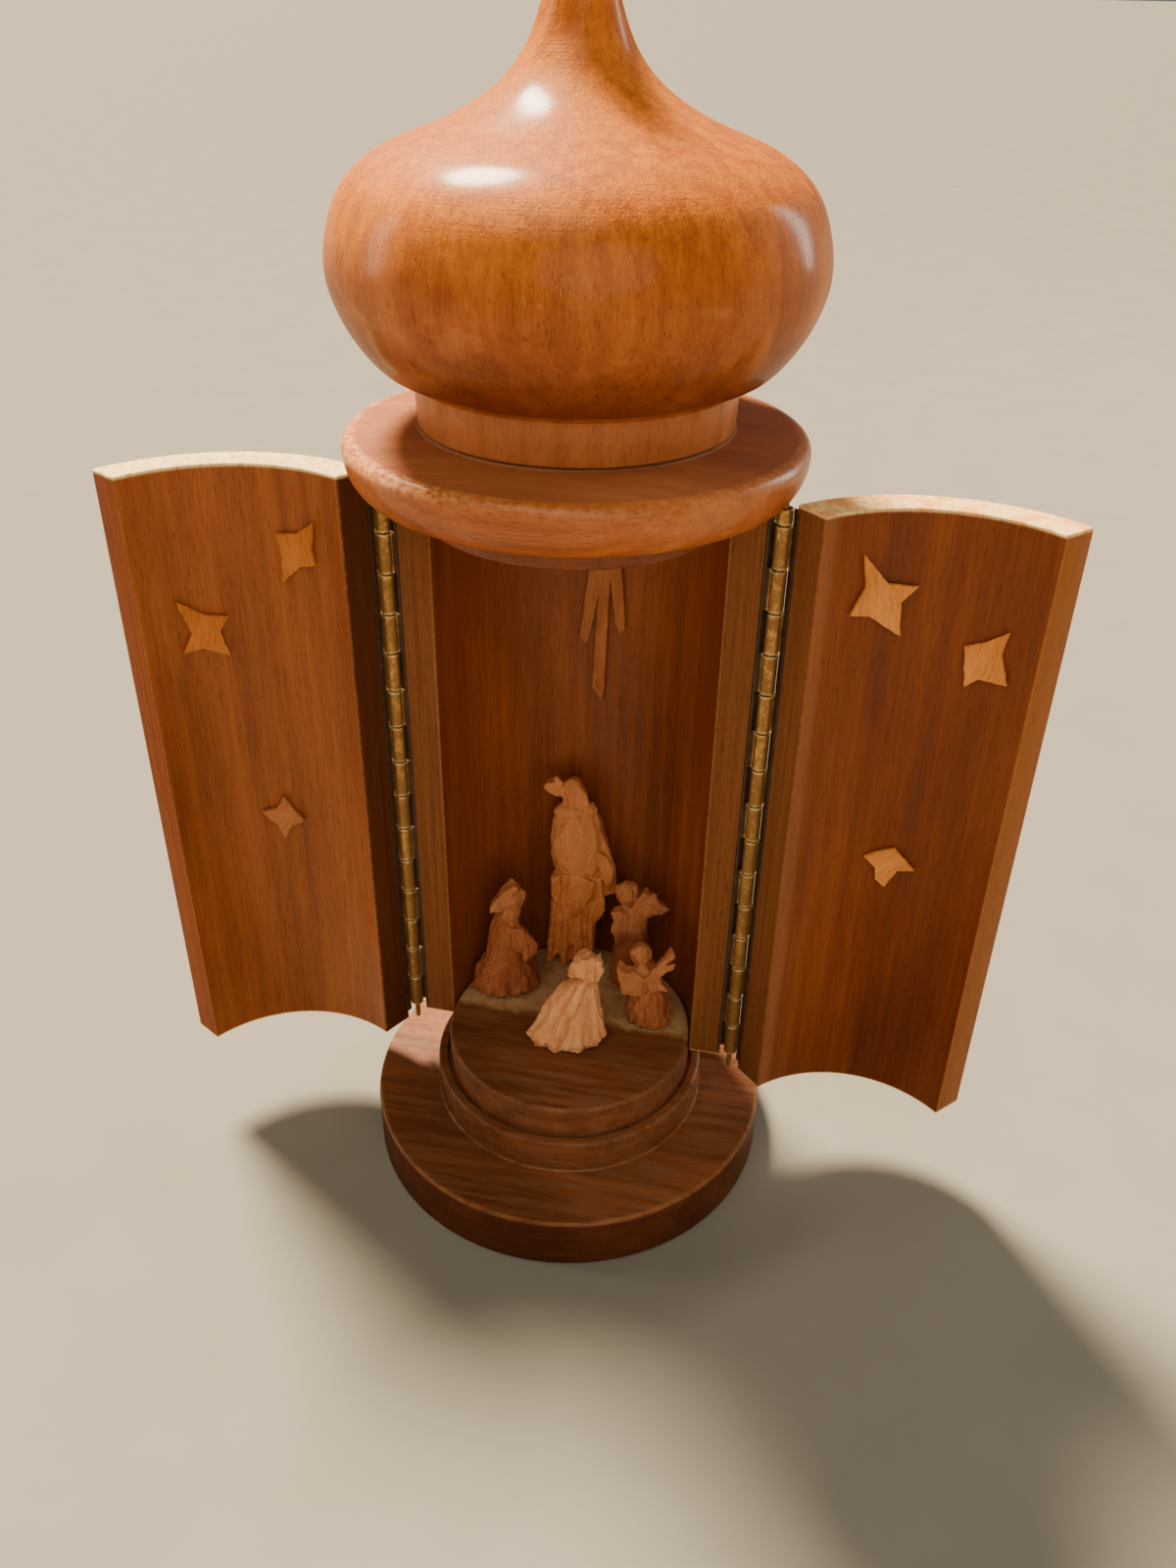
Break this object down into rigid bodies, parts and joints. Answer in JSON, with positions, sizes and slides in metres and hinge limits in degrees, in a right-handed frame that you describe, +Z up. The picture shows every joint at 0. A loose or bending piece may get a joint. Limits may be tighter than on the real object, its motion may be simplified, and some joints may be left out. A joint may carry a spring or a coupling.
{
  "type": "nativity shrine carving",
  "caption": "Turned wooden shrine with an onion dome and two curved doors on long hinges, open on a whittled nativity group inside.",
  "frame": {"origin": "centre of the round foot's flat underside, on the turning axis of the shrine", "axes": "+Z up along the turning axis to the tip of the spire, -Y out of the open front, +X to the viewer's right"},
  "size_m": [0.1502, 0.0768, 0.2169],
  "materials": {
    "lacquered_wood": "stained and satin lacquered",
    "lacquered_base_wood": "dark stained and satin lacquered",
    "raw_carving_wood": "raw, knife-cut",
    "tarnished_brass": "dull, tarnished"
  },
  "bodies": {
    "shrine": {"turned_base": "lacquered_base_wood", "back_shell": "lacquered_wood", "collar": "lacquered_wood", "onion_dome": "lacquered_wood", "comet_star": "raw_carving_wood", "left_hinge_shell_leaf": "tarnished_brass", "left_hinge_pin": "tarnished_brass", "right_hinge_shell_leaf": "tarnished_brass", "right_hinge_pin": "tarnished_brass", "tall_standing_figure": "raw_carving_wood", "left_kneeling_figure": "raw_carving_wood", "front_figure": "raw_carving_wood", "right_back_figure": "raw_carving_wood", "right_front_figure": "raw_carving_wood"},
    "left_door": {"left_door": "lacquered_wood", "left_hinge_door_leaf": "tarnished_brass", "left_star_1": "raw_carving_wood", "left_star_2": "raw_carving_wood", "left_star_3": "raw_carving_wood"},
    "right_door": {"right_door": "lacquered_wood", "right_hinge_door_leaf": "tarnished_brass", "right_star_1": "raw_carving_wood", "right_star_2": "raw_carving_wood", "right_star_3": "raw_carving_wood"}
  },
  "joints": [
    {"name": "left_door_hinge", "type": "hinge", "parent": "shrine", "child": "left_door", "pos_m": [-0.032, 0.0005, 0.0768], "axis": [0, 0, -1], "range_deg": [-119.6, 50.4]},
    {"name": "right_door_hinge", "type": "hinge", "parent": "shrine", "child": "right_door", "pos_m": [0.032, 0.0005, 0.0768], "axis": [0, 0, 1], "range_deg": [-136.1, 33.9]}
  ]
}
